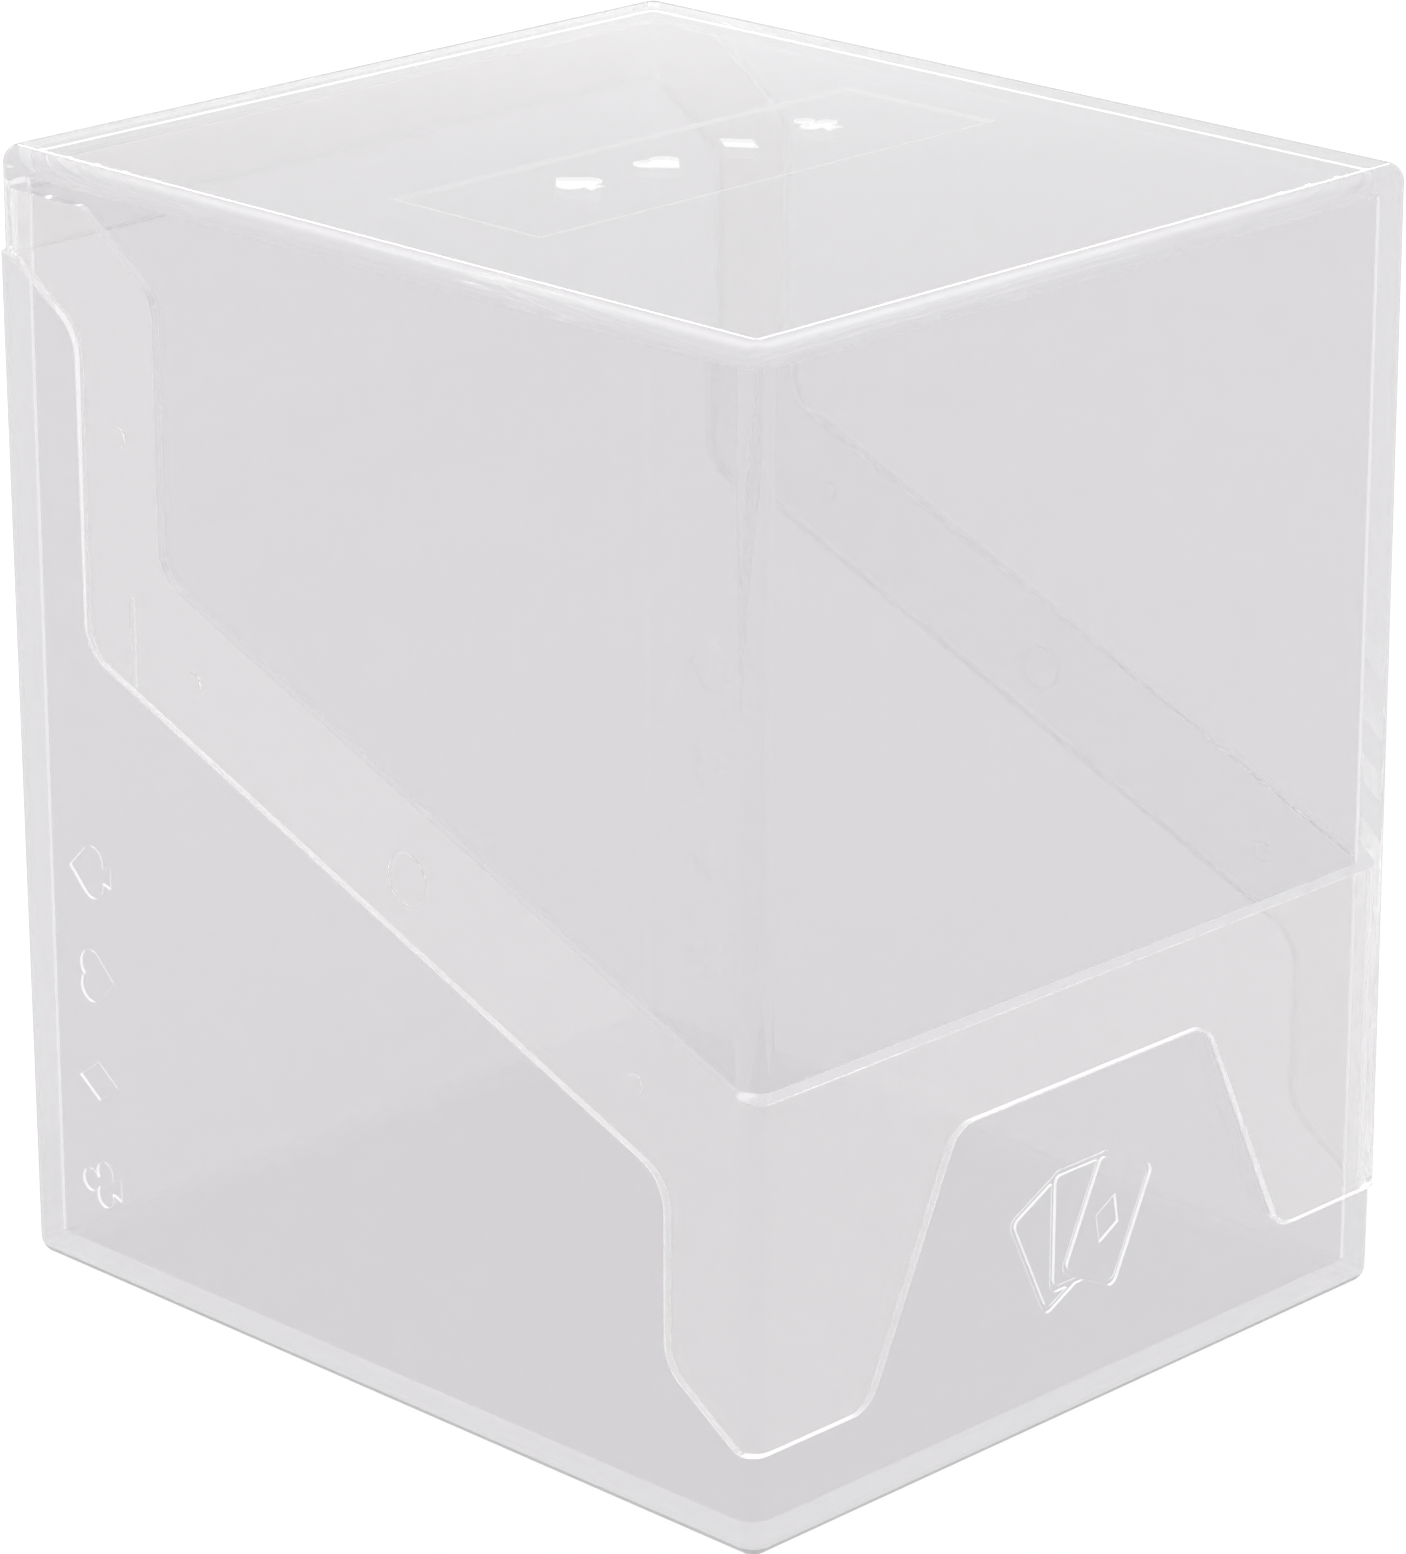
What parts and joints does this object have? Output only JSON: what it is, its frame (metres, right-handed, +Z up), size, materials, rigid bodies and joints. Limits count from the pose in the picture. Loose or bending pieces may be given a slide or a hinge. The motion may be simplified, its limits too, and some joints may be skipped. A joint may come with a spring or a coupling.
{
  "type": "card deck box",
  "caption": "Clear two-piece box for a deck of sleeved playing cards: a raked tray with a thin collar and a deep lift-off lid with a finger notch.",
  "frame": {"origin": "centre of the underside", "axes": "+Z up through the lid, the finger notch faces -Y, X runs from left to right"},
  "size_m": [0.078, 0.0886, 0.1],
  "materials": {
    "tray_plastic": "clear injection-moulded plastic with a faint haze, gloss surface",
    "lid_plastic": "clear injection-moulded plastic with a faint haze, gloss surface"
  },
  "bodies": {
    "tray_body": {"tray": "tray_plastic"},
    "lid_body": {"lid": "lid_plastic"}
  },
  "joints": [
    {"name": "lid_lift", "type": "slide", "parent": "tray_body", "child": "lid_body", "axis": [0, 0, 1], "range_m": [0, 0.1]}
  ]
}
